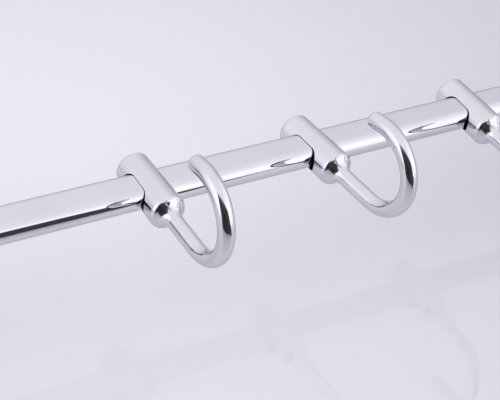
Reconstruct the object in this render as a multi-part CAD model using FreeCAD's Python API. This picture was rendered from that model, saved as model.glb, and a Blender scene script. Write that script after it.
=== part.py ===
"""Kitchen utensil rail: a flat oval tube between two wall brackets, with hooks that slide along it.

Frame: millimetres, origin on the wall plane, midway between the brackets and level with the tube's axis.
+X runs along the tube, +Y points into the wall, so the hooks reach out along -Y, and +Z is up.
"""
import FreeCAD, Part
import math
import os
from FreeCAD import Vector

# Rail tube
rail_depth = 18.0            # flat oval across, from front to back
rail_height = 10.4           # flat oval from top to bottom
rail_wall = 1.2
rail_standoff = 45.0         # wall to tube axis

# Hooks along the tube
hook_count = 6
hook_pitch = 82.5
end_bay = 93.75              # from the outer hook's even place to the axis of the bracket's post
hook_shifts = {3: 5.0}       # how far a hook has been slid along from its even place, by its number
hole_play_depth = 1.3        # room in front of and behind the tube in a hook's hole
hole_play_height = 0.5       # room above and below the tube, with the hook centred
seat_gap = 0.3               # left open where a hook hangs on the tube or is turned against it
twist_shares = {1: 0.2, 2: 0.78}   # share of the turn that the hole's play allows, by the hook's number

# Shape of one hook
hook_cheek = 2.3             # metal above and below the hole
hook_back_wall = 6.1         # metal behind the hole
hook_front_wall = 8.7        # from the hole to the end of the shoulder
hook_back_rim = 1.6          # rounding of the back end
shoulder_radius = 4.0
neck_radius = 8.0
rod_diameter = 7.3
rod_straight = 15.9          # from the neck to the curl
curl_radius = 19.5           # at the rod's centre line
curl_turn = 188.0            # degrees
tip_length = 7.0
tip_rim = 2.6                # rounding of the tip

# Brackets
post_cheek = 4.7             # metal above and below the socket
post_nose = 6.0              # metal in front of the socket
post_rim = 2.5               # rounding of the post's front end
post_foot_radius = 5.0       # hollow fillet where the post meets the rose
socket_play = 0.1            # room around the tube in its socket
socket_past_axis = 5.0       # how far the socket goes past the post's axis
rail_end_gap = 0.3           # tube end to socket floor
rose_wall = 3.7              # metal around the wall plate
rose_face = 3.5              # metal in front of the wall plate
rose_rim = 2.5               # rounding of the rose's front edge

# Wall plates
plate_diameter = 40.0
plate_thickness = 6.0
plate_play = 0.3             # room around and in front of the plate in the rose
plate_hole_spacing = 24.0
plate_hole_diameter = 4.5
countersink_diameter = 8.5
groove_depth = 1.2           # V groove round the plate's edge, for the rose screw

# Grub screws
screw_diameter = 4.0
screw_play = 0.05            # between a screw and its tapped hole
screw_tip_gap = 0.05         # between a screw's tip and what it bears on
screw_recess = 0.4           # how far a screw's head end lies under the surface
key_across = 2.0             # hexagon socket, across its flats
key_depth = 2.0

# Sizes that follow
hole_depth = rail_depth + 2 * hole_play_depth
hole_height = rail_height + 2 * hole_play_height
body_radius = hole_height / 2 + hook_cheek
body_back = hole_depth / 2 + hook_back_wall
shoulder_end = hole_depth / 2 + hook_front_wall
rod_radius = rod_diameter / 2
hook_drop = hole_play_height - seat_gap
twist_limit = math.degrees(math.atan((hole_play_depth - seat_gap) / body_radius))

post_radius = rail_height / 2 + socket_play + post_cheek
post_front = rail_standoff + rail_depth / 2 + socket_play + post_nose
rail_span = (hook_count - 1) * hook_pitch + 2 * end_bay
post_x = rail_span / 2
rail_half = post_x + socket_past_axis - rail_end_gap
plate_radius = plate_diameter / 2
recess_radius = plate_radius + plate_play
recess_depth = plate_thickness + plate_play
rose_radius = recess_radius + rose_wall
rose_depth = recess_depth + rose_face
screw_radius = screw_diameter / 2

# Margin by which a cutting tool passes the faces it cuts
overcut = 1.0

ORIGIN = Vector(0, 0, 0)
ALONG_X = Vector(1, 0, 0)
ALONG_Y = Vector(0, 1, 0)
ALONG_Z = Vector(0, 0, 1)


def line(start, end):
    return Part.LineSegment(Vector(*start), Vector(*end)).toShape()


def arc(centre, radius, first, last):
    """Arc in the XY plane from one angle to another, in degrees."""
    middle = (first + last) / 2
    points = []
    for angle in (first, middle, last):
        turn = math.radians(angle)
        points.append(Vector(centre[0] + radius * math.cos(turn), centre[1] + radius * math.sin(turn), 0))
    return Part.Arc(*points).toShape()


def turned(edges):
    """Solid of revolution about the Y axis from a closed profile in the XY plane."""
    wire = Part.Wire(Part.__sortEdges__(edges))
    return Part.Face(wire).revolve(ORIGIN, ALONG_Y, 360)


def oval_prism(depth, height, start, length):
    """Flat oval bar along X, centred on the X axis: two flats joined by half rounds."""
    long_way, short_way = (ALONG_Y, ALONG_Z) if depth >= height else (ALONG_Z, ALONG_Y)
    radius = min(depth, height) / 2
    middle = Vector(start, 0, 0)
    to_round = long_way * (abs(depth - height) / 2)
    to_end = long_way * (max(depth, height) / 2)
    to_flat = short_way * radius
    outline = Part.Wire([
        Part.LineSegment(middle - to_round - to_flat, middle + to_round - to_flat).toShape(),
        Part.Arc(middle + to_round - to_flat, middle + to_end, middle + to_round + to_flat).toShape(),
        Part.LineSegment(middle + to_round + to_flat, middle - to_round + to_flat).toShape(),
        Part.Arc(middle - to_round + to_flat, middle - to_end, middle - to_round - to_flat).toShape(),
    ])
    return Part.Face(outline).extrude(Vector(length, 0, 0))


def round_bar(radius, start, direction, length):
    return Part.makeCylinder(radius, length, start, direction)


def make_rail_tube():
    length = 2 * rail_half
    outside = oval_prism(rail_depth, rail_height, -rail_half, length)
    inside = oval_prism(
        rail_depth - 2 * rail_wall, rail_height - 2 * rail_wall, -rail_half - overcut, length + 2 * overcut
    )
    tube = outside.cut(inside)
    tube.translate(Vector(0, -rail_standoff, 0))
    return tube


def neck_geometry():
    """Centres of the shoulder and neck arcs as (distance out, radius), and the slope between them."""
    shoulder = (shoulder_end - shoulder_radius, body_radius - shoulder_radius)
    rise = rod_radius + neck_radius - shoulder[1]
    reach = math.sqrt((shoulder_radius + neck_radius) ** 2 - rise ** 2)
    neck = (shoulder[0] + reach, rod_radius + neck_radius)
    return shoulder, neck, math.degrees(math.atan2(rise, reach))


def make_hook_body(curl_start):
    """Bored body, shoulder, neck and straight rod, turned about the Y axis and pointing along -Y."""
    shoulder, neck, slope = neck_geometry()
    rim = hook_back_rim
    return turned([
        line((0, body_back, 0), (body_radius - rim, body_back, 0)),
        arc((body_radius - rim, body_back - rim), rim, 90, 0),
        line((body_radius, body_back - rim, 0), (body_radius, -shoulder[0], 0)),
        arc((shoulder[1], -shoulder[0]), shoulder_radius, 0, slope - 90),
        arc((neck[1], -neck[0]), neck_radius, slope + 90, 180),
        line((rod_radius, -neck[0], 0), (rod_radius, -curl_start, 0)),
        line((rod_radius, -curl_start, 0), (0, -curl_start, 0)),
        line((0, -curl_start, 0), (0, body_back, 0)),
    ])


def make_curl(curl_start):
    section = Part.Face(Part.Wire(Part.makeCircle(rod_radius, Vector(0, -curl_start, 0), ALONG_Y)))
    centre = Vector(0, -curl_start, curl_radius)
    return section.revolve(centre, -ALONG_X, curl_turn)


def make_tip(curl_start):
    """Straight end of the rod with a rounded rim, set on the end of the curl."""
    tip = turned([
        line((0, 0, 0), (rod_radius, 0, 0)),
        line((rod_radius, 0, 0), (rod_radius, -tip_length + tip_rim, 0)),
        arc((rod_radius - tip_rim, -tip_length + tip_rim), tip_rim, 0, -90),
        line((rod_radius - tip_rim, -tip_length, 0), (0, -tip_length, 0)),
        line((0, -tip_length, 0), (0, 0, 0)),
    ])
    tip.translate(Vector(0, -curl_start, 0))
    tip.rotate(Vector(0, -curl_start, curl_radius), -ALONG_X, curl_turn)
    return tip


def make_hook(number):
    shoulder, neck, slope = neck_geometry()
    curl_start = neck[0] + rod_straight
    hook = make_hook_body(curl_start).fuse([make_curl(curl_start), make_tip(curl_start)]).removeSplitter()
    bore_half = body_radius + overcut
    hook = hook.cut(oval_prism(hole_depth, hole_height, -bore_half, 2 * bore_half))
    hook.rotate(ORIGIN, ALONG_Z, twist_shares.get(number, 0.0) * twist_limit)
    place = (number - (hook_count + 1) / 2) * hook_pitch + hook_shifts.get(number, 0.0)
    hook.translate(Vector(place, -rail_standoff, -hook_drop))
    return hook


def make_bracket(side):
    """Rose, post and blind socket. On the left, side -1, the socket opens along +X, on the right along -X."""
    rim = rose_rim
    foot = post_foot_radius
    nose = post_rim
    bracket = turned([
        line((0, -recess_depth, 0), (recess_radius, -recess_depth, 0)),
        line((recess_radius, -recess_depth, 0), (recess_radius, 0, 0)),
        line((recess_radius, 0, 0), (rose_radius, 0, 0)),
        line((rose_radius, 0, 0), (rose_radius, -rose_depth + rim, 0)),
        arc((rose_radius - rim, -rose_depth + rim), rim, 0, -90),
        line((rose_radius - rim, -rose_depth, 0), (post_radius + foot, -rose_depth, 0)),
        arc((post_radius + foot, -rose_depth - foot), foot, 90, 180),
        line((post_radius, -rose_depth - foot, 0), (post_radius, -post_front + nose, 0)),
        arc((post_radius - nose, -post_front + nose), nose, 0, -90),
        line((post_radius - nose, -post_front, 0), (0, -post_front, 0)),
        line((0, -post_front, 0), (0, -recess_depth, 0)),
    ])
    socket_length = socket_past_axis + post_radius + overcut
    socket_start = -socket_past_axis if side < 0 else -(post_radius + overcut)
    socket_depth = rail_depth + 2 * socket_play
    socket_height = rail_height + 2 * socket_play
    socket = oval_prism(socket_depth, socket_height, socket_start, socket_length)
    socket.translate(Vector(0, -rail_standoff, 0))
    tapped_radius = screw_radius + screw_play
    rail_tap = round_bar(
        tapped_radius, Vector(0, -rail_standoff, -post_radius - overcut), ALONG_Z, post_radius + overcut
    )
    rose_tap = round_bar(
        tapped_radius, Vector(0, -plate_thickness / 2, -rose_radius - overcut), ALONG_Z,
        rose_wall + plate_play + 2 * overcut
    )
    bracket = bracket.cut(Part.makeCompound([socket, rail_tap, rose_tap]))
    bracket.translate(Vector(side * post_x, 0, 0))
    return bracket


def make_wall_plate(side):
    """Disc on the wall with two countersunk holes and a V groove round its edge."""
    middle = -plate_thickness / 2
    groove = groove_depth
    plate = turned([
        line((0, 0, 0), (plate_radius, 0, 0)),
        line((plate_radius, 0, 0), (plate_radius, middle + groove, 0)),
        line((plate_radius, middle + groove, 0), (plate_radius - groove, middle, 0)),
        line((plate_radius - groove, middle, 0), (plate_radius, middle - groove, 0)),
        line((plate_radius, middle - groove, 0), (plate_radius, -plate_thickness, 0)),
        line((plate_radius, -plate_thickness, 0), (0, -plate_thickness, 0)),
        line((0, -plate_thickness, 0), (0, 0, 0)),
    ])
    hole_radius = plate_hole_diameter / 2
    sink_radius = countersink_diameter / 2
    sink_depth = sink_radius - hole_radius
    for place in (-plate_hole_spacing / 2, plate_hole_spacing / 2):
        hole = round_bar(hole_radius, Vector(0, overcut, place), -ALONG_Y, plate_thickness + 2 * overcut)
        sink = Part.makeCone(
            sink_radius, hole_radius, sink_depth, Vector(0, -plate_thickness, place), ALONG_Y
        )
        plate = plate.cut(hole).cut(sink)
    plate.translate(Vector(side * post_x, 0, 0))
    return plate


def make_grub_screw(length, cone):
    """Screw along +Z: its tip is at the origin, with a cone of the given height, and its key socket below."""
    shank = round_bar(screw_radius, Vector(0, 0, -length), ALONG_Z, length - cone)
    if cone > 0:
        point = Part.makeCone(screw_radius, screw_radius - cone, cone, Vector(0, 0, -cone), ALONG_Z)
        shank = shank.fuse(point)
    corner = key_across / math.sqrt(3)
    corners = []
    for step in range(7):
        turn = math.radians(60 * step)
        corners.append(Vector(corner * math.cos(turn), corner * math.sin(turn), -length - overcut))
    key = Part.Face(Part.makePolygon(corners)).extrude(Vector(0, 0, key_depth + overcut))
    return shank.cut(key)


def make_rose_screw(side):
    """Cone-pointed screw in the underside of the rose, in the groove of the wall plate."""
    tip = -(plate_radius - groove_depth + screw_tip_gap + (screw_radius - groove_depth))
    screw = make_grub_screw(rose_radius - screw_recess + tip, groove_depth)
    screw.translate(Vector(side * post_x, -plate_thickness / 2, tip))
    return screw


def make_rail_screw(side):
    """Flat-pointed screw in the underside of the post, against the tube."""
    tip = -(rail_height / 2 + screw_tip_gap)
    screw = make_grub_screw(post_radius - screw_recess + tip, 0)
    screw.translate(Vector(side * post_x, -rail_standoff, tip))
    return screw


def main():
    pieces = {"rail_tube": make_rail_tube()}
    for number in range(1, hook_count + 1):
        pieces[f"hook_{number}"] = make_hook(number)
    for name, side in (("left", -1), ("right", 1)):
        pieces[f"{name}_bracket"] = make_bracket(side)
        pieces[f"{name}_wall_plate"] = make_wall_plate(side)
        pieces[f"{name}_rose_screw"] = make_rose_screw(side)
        pieces[f"{name}_rail_screw"] = make_rail_screw(side)
    os.makedirs("parts", exist_ok=True)
    for node, shape in pieces.items():
        shape.exportStep(f"parts/{node}.step")
        print(node, len(shape.Solids), "solid", shape.isValid(), round(shape.Volume, 1), "mm3")


main()
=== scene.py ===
"""Looks of the kitchen utensil rail: a polished chrome tube with sliding hooks between two wall brackets.

Metres, in the frame of the solids: +X along the tube, +Y into the wall, +Z up.
"""
import math
import bmesh
import bpy
from mathutils import Matrix, Vector


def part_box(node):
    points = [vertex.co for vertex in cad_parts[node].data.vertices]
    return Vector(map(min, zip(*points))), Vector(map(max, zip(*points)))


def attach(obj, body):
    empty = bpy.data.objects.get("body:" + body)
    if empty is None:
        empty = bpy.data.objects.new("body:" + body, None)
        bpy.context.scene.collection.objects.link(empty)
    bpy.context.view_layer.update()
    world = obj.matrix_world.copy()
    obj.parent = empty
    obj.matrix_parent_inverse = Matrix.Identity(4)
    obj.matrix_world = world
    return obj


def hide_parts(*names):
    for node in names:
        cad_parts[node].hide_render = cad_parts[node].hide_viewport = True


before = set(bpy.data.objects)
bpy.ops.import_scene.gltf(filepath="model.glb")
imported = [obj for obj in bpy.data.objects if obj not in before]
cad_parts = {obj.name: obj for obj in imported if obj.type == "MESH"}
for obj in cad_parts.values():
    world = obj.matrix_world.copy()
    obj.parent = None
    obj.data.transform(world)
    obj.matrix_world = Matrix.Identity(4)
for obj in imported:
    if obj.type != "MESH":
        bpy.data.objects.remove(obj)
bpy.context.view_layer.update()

MM = 0.001
MERGE = 0.002 * MM           # vertices closer than this are one
OVERCUT = 2.0 * MM           # by which a cutter passes what it cuts
FLAT_MARGIN = 0.25 * MM      # ring that keeps a flat face flat up to its rounded rim
SMOOTH_ANGLE = math.radians(35)
ACROSS = Vector((1, 0, 0))   # along the tube
INWARD = Vector((0, 1, 0))   # into the wall
UPWARD = Vector((0, 0, 1))

# Tube, read from the frame
rail_low, rail_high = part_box("rail_tube")
rail_middle = (rail_low + rail_high) / 2
rail_depth = rail_high.y - rail_low.y
rail_height = rail_high.z - rail_low.z
RAIL_WALL = 1.2 * MM
RAIL_POINTS = 194            # round the section: twice an odd number, so that no point lies mid-flat

# Hooks along the tube
HOOK_COUNT = 6
HOOK_PITCH = 82.5 * MM
HOOK_SHIFTS = {3: 5.0 * MM}  # slid along from its even place, by the hook's number
HOOK_TURNS = {1: 1.425, 2: 5.558}   # degrees, turned in the play of its hole
HOOK_DROP = 0.2 * MM         # hangs this much under the tube's axis

# One hook, pointing along -Y with the middle of its hole at the origin
BACK_RADIUS = 7.9 * MM       # of the body, which widens a little to the front
FRONT_RADIUS = 8.25 * MM
BODY_BACK = 16.4 * MM
BACK_RIM = 1.6 * MM
SHOULDER_END = 18.4 * MM
SHOULDER_RADIUS = 3.1 * MM
NECK_RADIUS = 7.0 * MM
ROD_RADIUS = 3.65 * MM
CURL_START = 40.14 * MM
CURL_RADIUS = 19.5 * MM
CURL_TURN = 188.0            # degrees
TIP_LENGTH = 7.0 * MM
TIP_RIM = 2.2 * MM
HOLE_PLAY_FRONT = 1.3 * MM
HOLE_PLAY_BACK = 0.85 * MM
HOLE_PLAY_HEIGHT = 0.4 * MM
HOLE_EDGE = 0.2 * MM         # rounding of the hole's edge
HOLE_EDGE_TURNS = (0, 30, 60)   # degrees of that rounding at which the cutter has a ring

# Fineness of a hook's mesh
HOOK_SEGMENTS = 128          # round the body and the rod
HOLE_POINTS = 130            # twice an odd number, as for the tube
RIM_STEPS = 10
BODY_STEPS = 48
SHOULDER_STEPS = 18
NECK_STEPS = 16
ROD_STEPS = 12
CURL_STEPS = 90

# Brackets, with the post's axis along Y through the origin
bracket_low, bracket_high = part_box("right_bracket")
post_front = -bracket_low.y
post_x = (bracket_low.x + bracket_high.x) / 2
POST_RADIUS = 10.0 * MM
POST_RIM = 2.5 * MM
POST_FOOT = 5.0 * MM         # radius of the hollow between post and rose
ROSE_RADIUS = 24.0 * MM
ROSE_DEPTH = 9.8 * MM
ROSE_RIM = 2.5 * MM
RECESS_RADIUS = 20.3 * MM
RECESS_DEPTH = 6.3 * MM
WALL_EDGE = 0.4 * MM         # broken edge of the rose against the wall
SOCKET_PLAY = 0.1 * MM
SOCKET_PAST_AXIS = 5.0 * MM
TAP_RADIUS = 2.05 * MM
ROSE_TAP_INSET = 3.0 * MM    # from the wall to the axis of the rose screw

# Fineness of a bracket's mesh
BRACKET_SEGMENTS = 160
TAP_SEGMENTS = 48
WALL_EDGE_STEPS = 4
FLAT_STEPS = 4
BRACKET_RIM_STEPS = 12
FOOT_STEPS = 14
POST_STEPS = 60

# Finishes
WAVE_DETAIL = 1.0
HAZE_SCALE = 45.0
HAZE_DETAIL = 6.0
HAZE_GRAIN = 0.65
HAZE_SPREAD = (0.42, 0.72)   # noise at which the haze begins, and at which it is full
EDGE_TINT = (0.78, 0.78, 0.80, 1)   # metal mirrors a little less where it is seen at a slant

# Camera, at the photograph's viewing angle
CAMERA_PLACE = Vector((-435.18, -434.94, 369.14)) * MM
CAMERA_AZIMUTH = math.radians(35.82)     # to the left of straight out from the wall
CAMERA_ELEVATION = math.radians(39.1)
CAMERA_ROLL = math.radians(-9.87)
FOCAL_PIXELS = 1381.0
FRAME_PIXELS = 500.0
SENSOR_WIDTH = 36.0

# Floor, with a soft pool of light
FLOOR_LEVEL = -59.5 * MM
FLOOR_SIZE = 12.0
FLOOR_COLOR = (0.735, 0.735, 0.757)
FLOOR_FAR_SHARE = 0.71       # of that colour, away from the pool
FLOOR_ROUGHNESS = 0.0        # a sharp mirror, which the dark card's finish counts on
FLOOR_IOR = 1.6
POOL_CENTRE = (-0.22, 0.02, 0.0)
POOL_RADIUS = 0.45

# Light tent. Its height runs from 0, straight down, to 1, straight up.
TENT_COLOR = (1.0, 0.985, 1.06)
TENT_LIGHT = ((0.40, 0.70), (0.50, 0.79), (0.585, 0.88), (0.675, 0.96), (0.80, 1.03), (1.0, 1.06))
# White panels: degrees from straight out of the wall, positive to the right, and how white it is there
PANELS = ((-155, 0.285), (-128, 0.43), (-110, 0.80), (-95, 1.0), (60, 1.0), (80, 0.78), (95, 0.49),
          (105, 0.19), (118, 0.0), (128, 0.04), (140, 0.14), (152, 0.24), (165, 0.285))
PANEL_LIGHT = (-0.20, 0.52)  # what the least and the whitest place add to the tent's light
PANEL_TOP = math.radians(84)             # elevation at which the panels begin
PANEL_FULL = math.radians(24)            # elevation below which they have their full light

# Dark card before the part, with an apron on the floor
CARD_AZIMUTH = math.radians(-36)         # the way the card lies from the hooks
CARD_DISTANCE = 600 * MM
CARD_AIM = Vector((-206, -85, 0)) * MM
# Corners of the card: millimetres sideways and up from its foot
CARD_OUTLINE = ((-345, -59), (1450, -59), (1400, 50), (1150, 110), (1000, 110), (1005, 520), (985, 620),
                (945, 720), (600, 850), (430, 980), (-345, 980))
CARD_HEART = (60, 120)                   # its darkest place
CARD_REACH = 1.5                         # from the heart to the end of its fade
CARD_FADE = ((0.0, 0.020), (0.20, 0.055), (0.57, 0.06), (0.64, 0.10), (0.72, 0.16), (0.80, 0.42),
             (0.92, 0.60))
CARD_TOP_COLOR = (0.62, 0.62, 0.64)
CARD_TOP_RANGE = (0.60, 0.98)            # heights between which it turns paler
APRON_LEVEL = -59 * MM
# Near edge of the apron: degrees from the card's middle, and millimetres from the hooks
APRON_EDGE = ((67, 260), (53, 330), (50, 430), (10, 430), (-30, 430))
# Sharp mirror rays below this depth come from the floor in view, and pass through the card
DIRECT_MIRROR_DEPTH = 1.5


# Modelling by hand

def start_profile(name, point):
    """New piece with a single vertex, left in edit mode with that vertex selected."""
    bpy.ops.object.select_all(action="DESELECT")
    bpy.ops.mesh.primitive_plane_add(size=MM)
    piece = bpy.context.active_object
    piece.name = name
    piece.data.name = name
    bpy.ops.object.mode_set(mode="EDIT")
    bpy.ops.mesh.select_mode(type="VERT")
    bpy.ops.mesh.select_all(action="SELECT")
    bpy.ops.mesh.merge(type="CENTER")
    bpy.ops.transform.translate(value=point)
    return piece


def draw_line(across, along, steps=1):
    """Extrudes the profile's last vertex by a distance across and along the turning axis."""
    move = Vector((across, along, 0)) / steps
    for _ in range(steps):
        bpy.ops.mesh.extrude_vertices_move(TRANSFORM_OT_translate={"value": move})


def spin_selected(centre, axis, degrees, steps):
    """Spins what is selected by the right-hand rule, which the operator's own angle goes against."""
    bpy.ops.mesh.spin(steps=steps, angle=-math.radians(degrees), center=centre, axis=axis)


def draw_arc(across, along, degrees, steps):
    """Carries the profile's last vertex on round a centre, in the plane of the profile."""
    spin_selected((across, along, 0), UPWARD, degrees, steps)


def close_mesh():
    """Merges doubles and turns all faces outwards."""
    bpy.ops.mesh.select_all(action="SELECT")
    bpy.ops.mesh.remove_doubles(threshold=MERGE)
    bpy.ops.mesh.normals_make_consistent(inside=False)


def turn_profile(segments):
    """Turns the drawn profile once round the Y axis."""
    bpy.ops.mesh.select_all(action="SELECT")
    bpy.ops.mesh.spin(steps=segments, angle=math.tau, center=(0, 0, 0), axis=INWARD)
    close_mesh()


def select_where(piece, test):
    """Selects the vertices whose place passes the test, with the edges and faces between them."""
    bpy.ops.mesh.select_all(action="DESELECT")
    mesh = bmesh.from_edit_mesh(piece.data)
    for vertex in mesh.verts:
        vertex.select_set(test(vertex.co))
    mesh.select_flush(True)
    bmesh.update_edit_mesh(piece.data)


def extrude_ring(move):
    """Extrudes what is selected by a move."""
    bpy.ops.mesh.extrude_region_move(TRANSFORM_OT_translate={"value": move})


def shrink_ring(share, centre):
    """Scales what is selected about a centre."""
    bpy.ops.transform.resize(value=(share, share, share), center_override=centre)


def oval_ring(name, depth, height, x, points):
    """Flat oval ring in the YZ plane: a circle pulled apart, left in edit mode with all of it selected."""
    bpy.ops.object.select_all(action="DESELECT")
    bpy.ops.mesh.primitive_circle_add(vertices=points, radius=height / 2, rotation=(0, math.pi / 2, 0))
    ring = bpy.context.active_object
    ring.name = name
    ring.data.name = name
    bpy.ops.object.transform_apply(location=False, rotation=True, scale=False)
    bpy.ops.object.mode_set(mode="EDIT")
    bpy.ops.mesh.select_mode(type="VERT")
    half_flat = (depth - height) / 2
    for side in (-1, 1):
        select_where(ring, lambda place: place.y * side > 0)
        bpy.ops.transform.translate(value=(0, side * half_flat, 0))
    bpy.ops.mesh.select_all(action="SELECT")
    bpy.ops.transform.translate(value=(x, 0, 0))
    return ring


def select_only(piece):
    """Selects one piece alone and makes it the active one."""
    bpy.ops.object.select_all(action="DESELECT")
    piece.select_set(True)
    bpy.context.view_layer.objects.active = piece


def apply_modifier(piece, modifier):
    """Makes what a modifier gives the piece's own mesh."""
    select_only(piece)
    bpy.ops.object.modifier_apply(modifier=modifier.name)


def cut_away(piece, *cutters):
    """Takes the cutters' shapes out of a piece."""
    for cutter in cutters:
        hole = piece.modifiers.new("hole", "BOOLEAN")
        hole.operation = "DIFFERENCE"
        hole.solver = "EXACT"
        hole.object = cutter
        apply_modifier(piece, hole)
        bpy.data.objects.remove(cutter)


def smooth_shape(piece):
    """Shades smoothly across every edge that isn't a real corner."""
    select_only(piece)
    bpy.ops.object.shade_smooth_by_angle(angle=SMOOTH_ANGLE)


def apply_place(piece, place, turn=0.0):
    """Puts a piece's place and its turn about the vertical, in degrees, into its mesh."""
    piece.data.transform(Matrix.Translation(place) @ Matrix.Rotation(math.radians(turn), 4, "Z"))


def copy_piece(piece, name):
    """Copy of a piece with a mesh of its own."""
    copy = bpy.data.objects.new(name, piece.data.copy())
    copy.data.name = name
    bpy.context.scene.collection.objects.link(copy)
    return copy


def mirrored(piece, name):
    """Copy of a piece mirrored from right to left."""
    copy = copy_piece(piece, name)
    copy.data.transform(Matrix.Scale(-1, 4, ACROSS))
    copy.data.flip_normals()
    return copy


# Tube

def make_rail():
    """Flat oval tube with its wall."""
    rail = oval_ring("polished_rail", rail_depth, rail_height, rail_low.x, RAIL_POINTS)
    extrude_ring(ACROSS * (rail_high.x - rail_low.x))
    close_mesh()
    bpy.ops.object.mode_set(mode="OBJECT")
    wall = rail.modifiers.new("wall", "SOLIDIFY")
    wall.thickness = RAIL_WALL
    wall.offset = -1
    apply_modifier(rail, wall)
    smooth_shape(rail)
    apply_place(rail, Vector((0, rail_middle.y, rail_middle.z)))
    return rail


# Hooks

def neck_centres():
    """Centres of the shoulder and neck arcs as (across, out), and the slope where they meet, in degrees."""
    shoulder = (FRONT_RADIUS - SHOULDER_RADIUS, SHOULDER_END - SHOULDER_RADIUS)
    rise = ROD_RADIUS + NECK_RADIUS - shoulder[0]
    reach = math.sqrt((SHOULDER_RADIUS + NECK_RADIUS) ** 2 - rise ** 2)
    neck = (ROD_RADIUS + NECK_RADIUS, shoulder[1] + reach)
    return shoulder, neck, math.degrees(math.atan2(rise, reach))


def body_radius(y):
    """Radius of the hook's body at a place along it."""
    back = BODY_BACK - BACK_RIM
    front = SHOULDER_RADIUS - SHOULDER_END
    return BACK_RADIUS + (FRONT_RADIUS - BACK_RADIUS) * (back - y) / (back - front)


def hole_edge_place(point, side, turn, half_flat, radius):
    """Place of a point of the hole's outline after part of its edge's quarter round, in degrees."""
    centre = Vector((0, max(-half_flat, min(half_flat, point.y)), 0))
    outward = (Vector((0, point.y, point.z)) - centre).normalized()
    turn = math.radians(turn)
    wide = centre + outward * (radius + HOLE_EDGE * (1 - math.cos(turn)))
    surface = math.sqrt(body_radius(wide.y) ** 2 - wide.z ** 2)
    wide.x = side * (surface - HOLE_EDGE * (1 - math.sin(turn)))
    return wide


def make_hole_cutter():
    """Oval bar for the hook's hole. Near the body's surface it widens, which rounds the hole's edge."""
    depth = rail_depth + HOLE_PLAY_FRONT + HOLE_PLAY_BACK
    height = rail_height + 2 * HOLE_PLAY_HEIGHT
    section = ((depth - height) / 2, height / 2)
    edge_rings = len(HOLE_EDGE_TURNS)
    cutter = oval_ring("hole_cutter", depth, height, 0, HOLE_POINTS)
    for side in (-1, 1):
        select_where(cutter, lambda place: abs(place.x) < MERGE)
        for _ in range(edge_rings + 2):
            extrude_ring(ACROSS * side * MM)
        bpy.ops.mesh.edge_face_add()

    # The rings stand a millimetre apart. Each goes to its turn of the edge, and the last two pass the body.
    mesh = bmesh.from_edit_mesh(cutter.data)
    for vertex in mesh.verts:
        ring = round(abs(vertex.co.x) / MM)
        side = 1 if vertex.co.x > 0 else -1
        if ring == 0:
            continue
        if ring <= edge_rings:
            vertex.co = hole_edge_place(vertex.co, side, HOLE_EDGE_TURNS[ring - 1], *section)
            continue
        before = hole_edge_place(vertex.co, side, HOLE_EDGE_TURNS[-2], *section)
        last = hole_edge_place(vertex.co, side, HOLE_EDGE_TURNS[-1], *section)
        past = last + (last - before)
        if ring > edge_rings + 1:
            past.x = side * (FRONT_RADIUS + OVERCUT)
        vertex.co = past
    bmesh.update_edit_mesh(cutter.data)
    close_mesh()
    bpy.ops.object.mode_set(mode="OBJECT")
    apply_place(cutter, INWARD * (HOLE_PLAY_BACK - HOLE_PLAY_FRONT) / 2)
    return cutter


def round_tip(centre, onward):
    """Extrudes the rod's open end into a rounded tip, from the end's centre onward."""
    radius, depth = ROD_RADIUS, 0.0
    for step in range(1, RIM_STEPS + 1):
        angle = math.radians(90 * step / RIM_STEPS)
        new_radius = ROD_RADIUS - TIP_RIM * (1 - math.cos(angle))
        new_depth = TIP_RIM * math.sin(angle)
        centre = centre + onward * (new_depth - depth)
        extrude_ring(onward * (new_depth - depth))
        shrink_ring(new_radius / radius, centre)
        radius, depth = new_radius, new_depth
    extrude_ring((0, 0, 0))
    shrink_ring(1 - FLAT_MARGIN / radius, centre)
    extrude_ring((0, 0, 0))
    bpy.ops.mesh.merge(type="CENTER")


def make_hook():
    """Bored body, shoulder, neck, rod, curl and tip, as one smooth casting."""
    shoulder, neck, slope = neck_centres()
    face_radius = BACK_RADIUS - BACK_RIM
    hook = start_profile("hook", (0, BODY_BACK, 0))
    draw_line(face_radius - FLAT_MARGIN, 0)
    draw_line(FLAT_MARGIN, 0)
    draw_arc(face_radius, BODY_BACK - BACK_RIM, -90, RIM_STEPS)
    draw_line(FRONT_RADIUS - BACK_RADIUS, -(BODY_BACK - BACK_RIM + shoulder[1]), BODY_STEPS)
    draw_arc(shoulder[0], -shoulder[1], slope - 90, SHOULDER_STEPS)
    draw_arc(neck[0], -neck[1], 90 - slope, NECK_STEPS)
    draw_line(0, neck[1] - CURL_START, ROD_STEPS)
    turn_profile(HOOK_SEGMENTS)

    select_where(hook, lambda place: place.y < -CURL_START + MERGE)
    curl_centre = Vector((0, -CURL_START, CURL_RADIUS))
    spin_selected(curl_centre, -ACROSS, CURL_TURN, CURL_STEPS)
    turned = Matrix.Rotation(math.radians(CURL_TURN), 3, -ACROSS)
    onward = turned @ -INWARD
    curl_end = curl_centre + turned @ Vector((0, 0, -CURL_RADIUS))
    straight = onward * (TIP_LENGTH - TIP_RIM)
    extrude_ring(straight)
    round_tip(curl_end + straight, onward)
    close_mesh()
    bpy.ops.object.mode_set(mode="OBJECT")
    cut_away(hook, make_hole_cutter())
    smooth_shape(hook)
    return hook


def in_hole(place):
    """Whether a place on the hook lies on the wall of its hole, inside the rounded edge."""
    hole_reach = rail_depth / 2 + HOLE_PLAY_FRONT + MERGE
    across_axis = math.hypot(place.x, place.z)
    return across_axis < body_radius(place.y) - HOLE_EDGE and abs(place.y) < hole_reach


# Brackets

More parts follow.
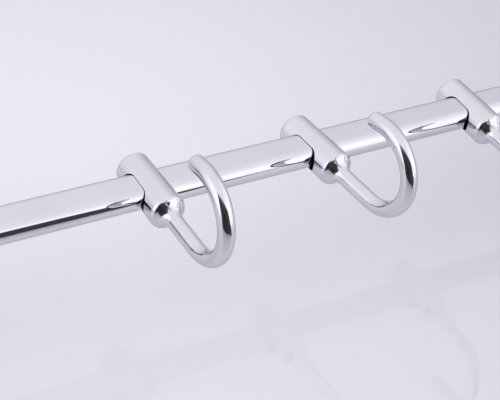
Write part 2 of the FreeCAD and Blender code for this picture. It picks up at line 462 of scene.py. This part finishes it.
def round_cutter(radius, start, end):
    """Upright round bar between two points of one vertical line."""
    bpy.ops.object.select_all(action="DESELECT")
    bpy.ops.mesh.primitive_circle_add(vertices=TAP_SEGMENTS, radius=radius, fill_type="NGON", location=start)
    cutter = bpy.context.active_object
    bpy.ops.object.transform_apply(location=True, rotation=False, scale=False)
    bpy.ops.object.mode_set(mode="EDIT")
    bpy.ops.mesh.select_all(action="SELECT")
    extrude_ring(Vector(end) - Vector(start))
    close_mesh()
    bpy.ops.object.mode_set(mode="OBJECT")
    return cutter


def socket_cutter():
    """Oval bar for the blind socket, open towards -X."""
    mouth = POST_RADIUS + OVERCUT
    cutter = oval_ring("socket_cutter", rail_depth + 2 * SOCKET_PLAY, rail_height + 2 * SOCKET_PLAY, -mouth,
                       RAIL_POINTS)
    bpy.ops.mesh.edge_face_add()
    extrude_ring(ACROSS * (mouth + SOCKET_PAST_AXIS))
    close_mesh()
    bpy.ops.object.mode_set(mode="OBJECT")
    apply_place(cutter, Vector((0, rail_middle.y, rail_middle.z)))
    return cutter


def make_bracket():
    """Right-hand bracket on the origin, as one casting: rose, post, blind socket and two tapped holes."""
    bracket = start_profile("bracket", (0, -RECESS_DEPTH, 0))
    draw_line(RECESS_RADIUS - FLAT_MARGIN, 0)
    draw_line(FLAT_MARGIN, 0)
    draw_line(0, RECESS_DEPTH)
    draw_line(ROSE_RADIUS - RECESS_RADIUS - WALL_EDGE, 0)
    draw_arc(ROSE_RADIUS - WALL_EDGE, -WALL_EDGE, -90, WALL_EDGE_STEPS)
    draw_line(0, -FLAT_MARGIN)
    draw_line(0, -(ROSE_DEPTH - ROSE_RIM - WALL_EDGE - 2 * FLAT_MARGIN), FLAT_STEPS)
    draw_line(0, -FLAT_MARGIN)
    draw_arc(ROSE_RADIUS - ROSE_RIM, -ROSE_DEPTH + ROSE_RIM, -90, BRACKET_RIM_STEPS)
    draw_line(-FLAT_MARGIN, 0)
    draw_line(-(ROSE_RADIUS - ROSE_RIM - POST_RADIUS - POST_FOOT - 2 * FLAT_MARGIN), 0, FLAT_STEPS)
    draw_line(-FLAT_MARGIN, 0)
    draw_arc(POST_RADIUS + POST_FOOT, -ROSE_DEPTH - POST_FOOT, 90, FOOT_STEPS)
    draw_line(0, -(post_front - POST_RIM - ROSE_DEPTH - POST_FOOT), POST_STEPS)
    draw_arc(POST_RADIUS - POST_RIM, -post_front + POST_RIM, -90, BRACKET_RIM_STEPS)
    draw_line(-FLAT_MARGIN, 0)
    draw_line(-(POST_RADIUS - POST_RIM - FLAT_MARGIN), 0)
    turn_profile(BRACKET_SEGMENTS)
    bpy.ops.object.mode_set(mode="OBJECT")
    rail_tap = round_cutter(TAP_RADIUS, (0, rail_middle.y, -POST_RADIUS - OVERCUT), (0, rail_middle.y, 0))
    rose_tap = round_cutter(TAP_RADIUS, (0, -ROSE_TAP_INSET, -ROSE_RADIUS - OVERCUT),
                            (0, -ROSE_TAP_INSET, -RECESS_RADIUS + OVERCUT))
    cut_away(bracket, socket_cutter(), rail_tap, rose_tap)
    smooth_shape(bracket)
    return bracket


# Finishes

def add_node(nodes, kind, values=None, **settings):
    """New shader node with its settings, and with values on its named or numbered inputs."""
    node = nodes.new(kind)
    for setting, value in settings.items():
        setattr(node, setting, value)
    for socket, value in (values or {}).items():
        node.inputs[socket].default_value = value
    return node


def fill_ramp(ramp, stops):
    """Sets a colour ramp to grey values at given places from 0 to 1."""
    elements = ramp.color_ramp.elements
    while len(elements) < len(stops):
        elements.new(0.5)
    for element, (place, value) in zip(elements, stops):
        element.position = place
        element.color = (value, value, value, 1)


def make_polish_marks():
    """Shared finish: faint waviness of a polished surface, and a thin haze where hands have touched it."""
    group = bpy.data.node_groups.new("polish_marks", "ShaderNodeTree")
    for way, names, kind in (
            ("INPUT", ("Wave Scale", "Haze Scale", "Clear Roughness", "Hazy Roughness"), "NodeSocketFloat"),
            ("INPUT", ("Clear Color", "Hazy Color"), "NodeSocketColor"),
            ("OUTPUT", ("Color",), "NodeSocketColor"),
            ("OUTPUT", ("Roughness", "Height"), "NodeSocketFloat")):
        for name in names:
            group.interface.new_socket(name, in_out=way, socket_type=kind)
    nodes, links = group.nodes, group.links
    inputs = nodes.new("NodeGroupInput")
    outputs = nodes.new("NodeGroupOutput")
    place = nodes.new("ShaderNodeTexCoord")
    wave = add_node(nodes, "ShaderNodeTexNoise", {"Detail": WAVE_DETAIL})
    haze = add_node(nodes, "ShaderNodeTexNoise", {"Detail": HAZE_DETAIL, "Roughness": HAZE_GRAIN})
    spread = add_node(nodes, "ShaderNodeMapRange", {"From Min": HAZE_SPREAD[0], "From Max": HAZE_SPREAD[1]})
    rough = nodes.new("ShaderNodeMapRange")
    tint = add_node(nodes, "ShaderNodeMix", data_type="RGBA")
    links.new(place.outputs["Object"], wave.inputs["Vector"])
    links.new(place.outputs["Object"], haze.inputs["Vector"])
    links.new(inputs.outputs["Wave Scale"], wave.inputs["Scale"])
    links.new(inputs.outputs["Haze Scale"], haze.inputs["Scale"])
    links.new(haze.outputs["Fac"], spread.inputs["Value"])
    links.new(spread.outputs["Result"], rough.inputs["Value"])
    links.new(inputs.outputs["Clear Roughness"], rough.inputs["To Min"])
    links.new(inputs.outputs["Hazy Roughness"], rough.inputs["To Max"])
    links.new(spread.outputs["Result"], tint.inputs["Factor"])
    links.new(inputs.outputs["Clear Color"], tint.inputs["A"])
    links.new(inputs.outputs["Hazy Color"], tint.inputs["B"])
    links.new(tint.outputs["Result"], outputs.inputs["Color"])
    links.new(rough.outputs["Result"], outputs.inputs["Roughness"])
    links.new(wave.outputs["Fac"], outputs.inputs["Height"])
    return group


def metal_finish(name, marks, colors, roughness, wave_scale, wave_height):
    """Metal whose polish varies over the surface, with a clear and a hazy colour and roughness."""
    material = bpy.data.materials.new(name)
    material.use_nodes = True
    nodes, links = material.node_tree.nodes, material.node_tree.links
    shader = nodes["Principled BSDF"]
    shader.inputs["Metallic"].default_value = 1.0
    shader.inputs["Specular Tint"].default_value = EDGE_TINT
    finish = nodes.new("ShaderNodeGroup")
    finish.node_tree = marks
    clear_color, hazy_color = colors
    clear_roughness, hazy_roughness = roughness
    finish.inputs["Clear Color"].default_value = (*clear_color, 1)
    finish.inputs["Hazy Color"].default_value = (*hazy_color, 1)
    finish.inputs["Clear Roughness"].default_value = clear_roughness
    finish.inputs["Hazy Roughness"].default_value = hazy_roughness
    finish.inputs["Wave Scale"].default_value = wave_scale
    finish.inputs["Haze Scale"].default_value = HAZE_SCALE
    bump = add_node(nodes, "ShaderNodeBump", {"Distance": wave_height})
    links.new(finish.outputs["Color"], shader.inputs["Base Color"])
    links.new(finish.outputs["Roughness"], shader.inputs["Roughness"])
    links.new(finish.outputs["Height"], bump.inputs["Height"])
    links.new(bump.outputs["Normal"], shader.inputs["Normal"])
    return material


marks = make_polish_marks()
chrome = metal_finish("chrome_plate", marks, colors=((0.68, 0.69, 0.715), (0.66, 0.67, 0.70)),
                      roughness=(0.025, 0.06), wave_scale=60, wave_height=0.002 * MM)
# Inside of a hook's hole: painted shade, a dark grey standing in for the little light that gets past the
# rail, on a rougher metal than the chrome.
painted_shade_bore = metal_finish("bore_painted_shade", marks, colors=((0.16, 0.16, 0.17), (0.10, 0.10, 0.11)),
                    roughness=(0.35, 0.5), wave_scale=500, wave_height=0.02 * MM)
zinc = metal_finish("zinc_plated_steel", marks, colors=((0.62, 0.63, 0.65), (0.50, 0.51, 0.54)),
                    roughness=(0.28, 0.45), wave_scale=900, wave_height=0.03 * MM)
stainless = metal_finish("turned_stainless", marks, colors=((0.56, 0.57, 0.58), (0.46, 0.47, 0.48)),
                         roughness=(0.2, 0.35), wave_scale=700, wave_height=0.02 * MM)


# Pieces in their places

def give(piece, body, slot, *nodes):
    """Gives a new piece the body it moves with, and hides the solids it stands for. The slot is not used."""
    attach(piece, body)
    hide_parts(*nodes)


def refinish(node, material):
    """Gives a solid that stays its finish."""
    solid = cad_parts[node]
    solid.data.materials.clear()
    solid.data.materials.append(material)


rail = make_rail()
rail.data.materials.append(chrome)
give(rail, "rail_and_brackets", "rail_chrome", "rail_tube")

hook_shape = make_hook()
hook_shape.data.materials.append(chrome)
hook_shape.data.materials.append(painted_shade_bore)
# Faces on the wall of the hole get the painted shade of the bore.
for face in hook_shape.data.polygons:
    face.material_index = 1 if in_hole(face.center) else 0
for number in range(1, HOOK_COUNT + 1):
    hook = copy_piece(hook_shape, f"polished_hook_{number}")
    along = (number - (HOOK_COUNT + 1) / 2) * HOOK_PITCH + HOOK_SHIFTS.get(number, 0.0)
    apply_place(hook, Vector((along, rail_middle.y, -HOOK_DROP)), HOOK_TURNS.get(number, 0.0))
    give(hook, f"hook_{number}", "hook_chrome", f"hook_{number}")
bpy.data.objects.remove(hook_shape)

bracket_shape = make_bracket()
bracket_shape.data.materials.append(chrome)
right_bracket = copy_piece(bracket_shape, "polished_right_bracket")
apply_place(right_bracket, ACROSS * post_x)
give(right_bracket, "rail_and_brackets", "bracket_chrome", "right_bracket")
left_bracket = mirrored(bracket_shape, "polished_left_bracket")
apply_place(left_bracket, -ACROSS * post_x)
give(left_bracket, "rail_and_brackets", "bracket_chrome", "left_bracket")
bpy.data.objects.remove(bracket_shape)

for side in ("left", "right"):
    refinish(f"{side}_wall_plate", zinc)
    refinish(f"{side}_rose_screw", stainless)
    refinish(f"{side}_rail_screw", stainless)


# Camera, floor and light

def make_camera():
    """Camera that sees the part as the photograph shows it."""
    backward = Vector((-math.sin(CAMERA_AZIMUTH) * math.cos(CAMERA_ELEVATION),
                       -math.cos(CAMERA_AZIMUTH) * math.cos(CAMERA_ELEVATION), math.sin(CAMERA_ELEVATION)))
    level = Vector((math.cos(CAMERA_AZIMUTH), -math.sin(CAMERA_AZIMUTH), 0))
    down = (-backward).cross(level)
    right = level * math.cos(CAMERA_ROLL) + down * math.sin(CAMERA_ROLL)
    up = level * math.sin(CAMERA_ROLL) - down * math.cos(CAMERA_ROLL)
    data = bpy.data.cameras.new("camera")
    data.sensor_width = SENSOR_WIDTH
    data.lens = FOCAL_PIXELS / FRAME_PIXELS * SENSOR_WIDTH
    camera = bpy.data.objects.new("camera", data)
    turn = Matrix((right, up, backward)).transposed()
    camera.matrix_world = Matrix.Translation(CAMERA_PLACE) @ turn.to_4x4()
    bpy.context.scene.collection.objects.link(camera)
    bpy.context.scene.camera = camera


def make_floor():
    """Pale glossy floor with a soft pool of light, which mirrors the part faintly."""
    bpy.ops.object.select_all(action="DESELECT")
    bpy.ops.mesh.primitive_plane_add(size=FLOOR_SIZE, location=(0, 0, FLOOR_LEVEL))
    floor = bpy.context.active_object
    floor.name = "floor"
    material = bpy.data.materials.new("pale_floor")
    material.use_nodes = True
    nodes, links = material.node_tree.nodes, material.node_tree.links
    shader = nodes["Principled BSDF"]
    shader.inputs["Roughness"].default_value = FLOOR_ROUGHNESS
    shader.inputs["IOR"].default_value = FLOOR_IOR
    far_color = [FLOOR_FAR_SHARE * value for value in FLOOR_COLOR]
    place = nodes.new("ShaderNodeTexCoord")
    away = add_node(nodes, "ShaderNodeVectorMath", {1: POOL_CENTRE}, operation="DISTANCE")
    pool = add_node(nodes, "ShaderNodeMapRange", {"From Max": POOL_RADIUS}, interpolation_type="SMOOTHSTEP")
    tint = add_node(nodes, "ShaderNodeMix", {"A": (*FLOOR_COLOR, 1), "B": (*far_color, 1)},
                    data_type="RGBA")
    links.new(place.outputs["Object"], away.inputs[0])
    links.new(away.outputs["Value"], pool.inputs["Value"])
    links.new(pool.outputs["Result"], tint.inputs["Factor"])
    links.new(tint.outputs["Result"], shader.inputs["Base Color"])
    floor.data.materials.append(material)


def make_light_tent():
    """Soft light tent: paler with height, with white panels to the left and to the front right."""
    world = bpy.data.worlds.new("light_tent")
    bpy.context.scene.world = world
    world.use_nodes = True
    nodes, links = world.node_tree.nodes, world.node_tree.links
    sky = nodes["Background"]
    sky.inputs["Color"].default_value = (*TENT_COLOR, 1)
    direction = nodes.new("ShaderNodeTexCoord")
    parts = nodes.new("ShaderNodeSeparateXYZ")
    links.new(direction.outputs["Generated"], parts.inputs["Vector"])

    height = add_node(nodes, "ShaderNodeMapRange", {"From Min": -1.0})
    base = nodes.new("ShaderNodeValToRGB")
    fill_ramp(base, TENT_LIGHT)
    links.new(parts.outputs["Z"], height.inputs["Value"])
    links.new(height.outputs["Result"], base.inputs["Fac"])

    outward = add_node(nodes, "ShaderNodeMath", {1: -1.0}, operation="MULTIPLY")
    azimuth = add_node(nodes, "ShaderNodeMath", operation="ARCTAN2")
    turn = add_node(nodes, "ShaderNodeMapRange", {"From Min": -math.pi, "From Max": math.pi})
    panels = nodes.new("ShaderNodeValToRGB")
    fill_ramp(panels, [((degrees + 180) / 360, white) for degrees, white in PANELS])
    links.new(parts.outputs["Y"], outward.inputs[0])
    links.new(parts.outputs["X"], azimuth.inputs[0])
    links.new(outward.outputs["Value"], azimuth.inputs[1])
    links.new(azimuth.outputs["Value"], turn.inputs["Value"])
    links.new(turn.outputs["Result"], panels.inputs["Fac"])

    gain = add_node(nodes, "ShaderNodeMapRange", {"To Min": PANEL_LIGHT[0], "To Max": PANEL_LIGHT[1]})
    reach = add_node(nodes, "ShaderNodeMapRange",
                     {"From Min": math.sin(PANEL_TOP), "From Max": math.sin(PANEL_FULL)},
                     interpolation_type="SMOOTHSTEP")
    light = add_node(nodes, "ShaderNodeMath", operation="MULTIPLY_ADD")
    links.new(panels.outputs["Color"], gain.inputs["Value"])
    links.new(parts.outputs["Z"], reach.inputs["Value"])
    links.new(gain.outputs["Result"], light.inputs[0])
    links.new(reach.outputs["Result"], light.inputs[1])
    links.new(base.outputs["Color"], light.inputs[2])
    links.new(light.outputs["Value"], sky.inputs["Strength"])


def flat_card(name, corners):
    """Flat piece of card with the given corners."""
    card = start_profile(name, corners[0])
    for before, after in zip(corners, corners[1:]):
        bpy.ops.mesh.extrude_vertices_move(TRANSFORM_OT_translate={"value": after - before})
    bpy.ops.mesh.select_all(action="SELECT")
    bpy.ops.mesh.edge_face_add()
    bpy.ops.object.mode_set(mode="OBJECT")
    return card


def card_finish(heart):
    """Dark grey that pales away from its heart and upwards. It is clear where the floor would mirror it."""
    material = bpy.data.materials.new("dark_card")
    material.use_nodes = True
    nodes, links = material.node_tree.nodes, material.node_tree.links
    nodes.remove(nodes["Principled BSDF"])
    where = nodes.new("ShaderNodeTexCoord")
    away = add_node(nodes, "ShaderNodeVectorMath", {1: heart}, operation="DISTANCE")
    fade = add_node(nodes, "ShaderNodeMapRange", {"From Max": CARD_REACH})
    shade = nodes.new("ShaderNodeValToRGB")
    fill_ramp(shade, CARD_FADE)
    parts = nodes.new("ShaderNodeSeparateXYZ")
    rise = add_node(nodes, "ShaderNodeMapRange",
                    {"From Min": CARD_TOP_RANGE[0], "From Max": CARD_TOP_RANGE[1]})
    paler = add_node(nodes, "ShaderNodeMix", {"B": (*CARD_TOP_COLOR, 1)}, data_type="RGBA")
    glow = nodes.new("ShaderNodeEmission")
    links.new(where.outputs["Object"], away.inputs[0])
    links.new(where.outputs["Object"], parts.inputs["Vector"])
    links.new(away.outputs["Value"], fade.inputs["Value"])
    links.new(parts.outputs["Z"], rise.inputs["Value"])
    links.new(fade.outputs["Result"], shade.inputs["Fac"])
    links.new(rise.outputs["Result"], paler.inputs["Factor"])
    links.new(shade.outputs["Color"], paler.inputs["A"])
    links.new(paler.outputs["Result"], glow.inputs["Color"])

    clear = nodes.new("ShaderNodeBsdfTransparent")
    ray = nodes.new("ShaderNodeLightPath")
    direct = add_node(nodes, "ShaderNodeMath", {1: DIRECT_MIRROR_DEPTH}, operation="LESS_THAN")
    in_floor = add_node(nodes, "ShaderNodeMath", operation="MULTIPLY")
    either = nodes.new("ShaderNodeMixShader")
    links.new(ray.outputs["Ray Depth"], direct.inputs[0])
    links.new(ray.outputs["Is Singular Ray"], in_floor.inputs[0])
    links.new(direct.outputs["Value"], in_floor.inputs[1])
    links.new(in_floor.outputs["Value"], either.inputs["Fac"])
    links.new(glow.outputs["Emission"], either.inputs[1])
    links.new(clear.outputs["BSDF"], either.inputs[2])
    links.new(either.outputs["Shader"], nodes["Material Output"].inputs["Surface"])
    return material


def make_dark_card():
    """Upright card and its apron, which only the part's metal shows."""
    toward = Vector((math.sin(CARD_AZIMUTH), -math.cos(CARD_AZIMUTH), 0))
    sideways = Vector((math.cos(CARD_AZIMUTH), math.sin(CARD_AZIMUTH), 0))
    foot = CARD_AIM + toward * CARD_DISTANCE

    def card_place(aside, up):
        return foot + sideways * aside * MM + UPWARD * up * MM

    def apron_place(degrees, reach):
        turn = math.radians(degrees)
        middle = CARD_AIM + UPWARD * APRON_LEVEL
        return middle + (toward * math.cos(turn) + sideways * math.sin(turn)) * reach * MM

    card_corners = [card_place(*corner) for corner in CARD_OUTLINE]
    apron_corners = card_corners[:2] + [apron_place(*corner) for corner in APRON_EDGE]
    material = card_finish(card_place(*CARD_HEART))
    for sheet in (flat_card("dark_card", card_corners), flat_card("dark_apron", apron_corners)):
        sheet.data.materials.append(material)
        sheet.visible_camera = False
        sheet.visible_diffuse = False
        sheet.visible_shadow = False


make_camera()
make_floor()
make_light_tent()
make_dark_card()
bpy.context.scene.view_settings.view_transform = "Standard"
